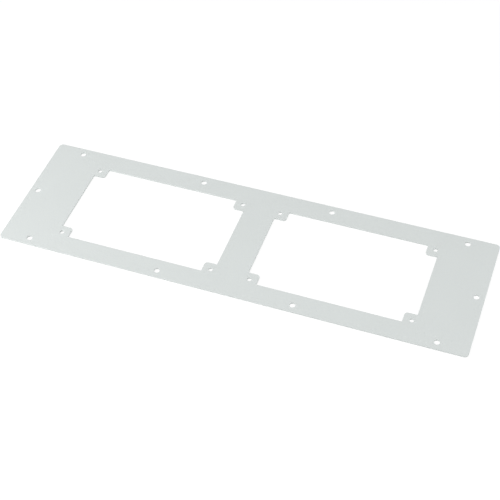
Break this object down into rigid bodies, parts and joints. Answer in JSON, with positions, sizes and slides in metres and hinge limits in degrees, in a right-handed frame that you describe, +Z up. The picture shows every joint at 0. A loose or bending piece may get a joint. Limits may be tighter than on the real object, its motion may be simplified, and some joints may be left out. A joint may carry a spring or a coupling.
{
  "type": "flange mounting plate",
  "caption": "Long flat sheet-metal plate with rectangular windows for cable entry flanges, drilled corner tabs in each window and fixing holes round the rim.",
  "frame": {"origin": "middle of the plate's underside", "axes": "+X along the length of the plate, +Y across it, +Z up out of the face that is seen"},
  "size_m": [0.596, 0.177, 0.002],
  "materials": {
    "plate": "light grey powder coat, fine texture, satin"
  },
  "bodies": {
    "root": {"mounting_plate": "plate"}
  },
  "joints": []
}
